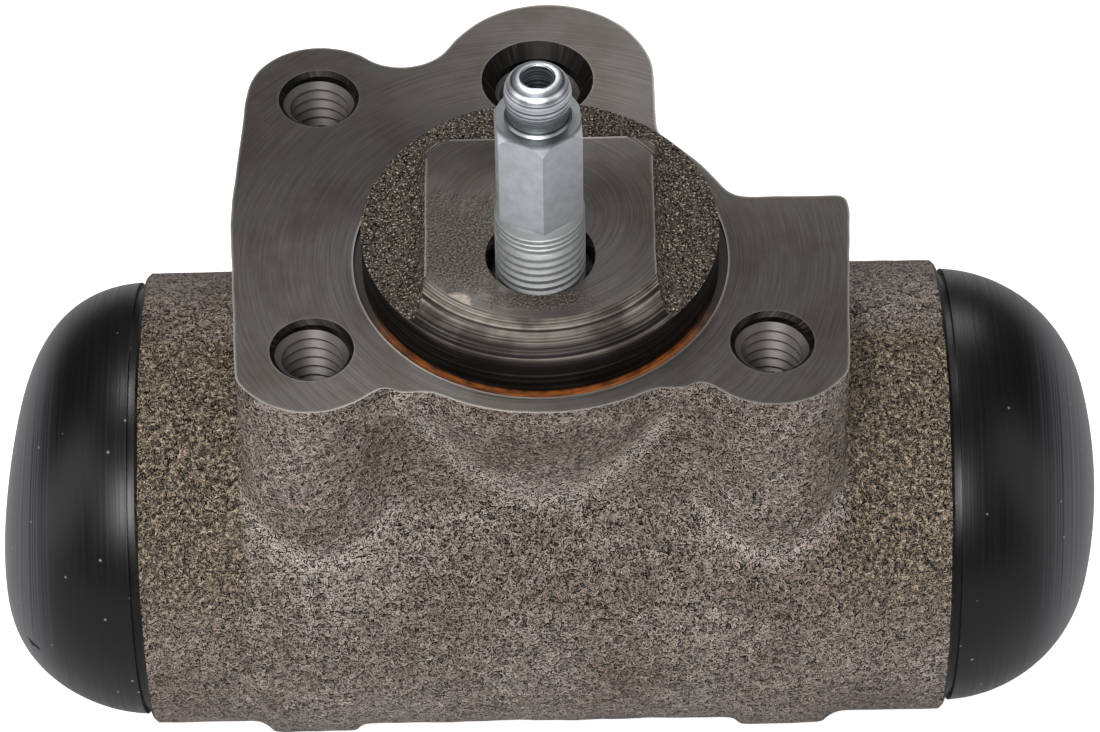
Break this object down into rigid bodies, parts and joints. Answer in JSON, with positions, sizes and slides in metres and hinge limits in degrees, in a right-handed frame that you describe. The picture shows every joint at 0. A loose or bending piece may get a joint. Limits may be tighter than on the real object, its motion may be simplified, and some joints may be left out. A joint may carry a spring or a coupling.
{
  "type": "drum brake wheel cylinder",
  "caption": "Double-ended drum brake wheel cylinder: cast iron body with a pilot boss, tapped mounting holes, inlet port, bleeder screw and black rubber end boots.",
  "frame": {"origin": "pilot boss axis where it meets the machined mounting face", "axes": "+X along the barrel, +Y towards the inlet port, +Z out of the mounting face"},
  "size_m": [0.124, 0.0653, 0.0977],
  "materials": {
    "cast_iron": "rough sand casting with machined faces",
    "zinc_steel": "bright zinc plate",
    "spring_steel": "oiled",
    "piston_aluminium": "turned satin",
    "boot_rubber": "moulded semi-gloss",
    "cup_rubber": "moulded matt"
  },
  "bodies": {
    "cylinder": {"cylinder_body": "cast_iron", "return_spring": "spring_steel", "left_boot": "boot_rubber", "right_boot": "boot_rubber"},
    "left_piston_set": {"left_piston": "piston_aluminium", "left_piston_cup": "cup_rubber", "left_cup_expander": "zinc_steel"},
    "right_piston_set": {"right_piston": "piston_aluminium", "right_piston_cup": "cup_rubber", "right_cup_expander": "zinc_steel"},
    "bleeder": {"bleeder_screw": "zinc_steel"}
  },
  "joints": [
    {"name": "left_piston_slide", "type": "slide", "parent": "cylinder", "child": "left_piston_set", "axis": [1, 0, 0], "range_m": [0, 0.008], "stiffness_N_per_m": 400, "springref_m": -0.012, "deforming": ["return_spring"]},
    {"name": "right_piston_slide", "type": "slide", "parent": "cylinder", "child": "right_piston_set", "axis": [-1, 0, 0], "range_m": [0, 0.008], "stiffness_N_per_m": 400, "springref_m": -0.012, "deforming": ["return_spring"]},
    {"name": "bleeder_turn", "type": "hinge", "parent": "cylinder", "child": "bleeder", "pos_m": [0, -0.0058, 0], "axis": [0, 0, 1], "range_deg": [0, 360]}
  ]
}
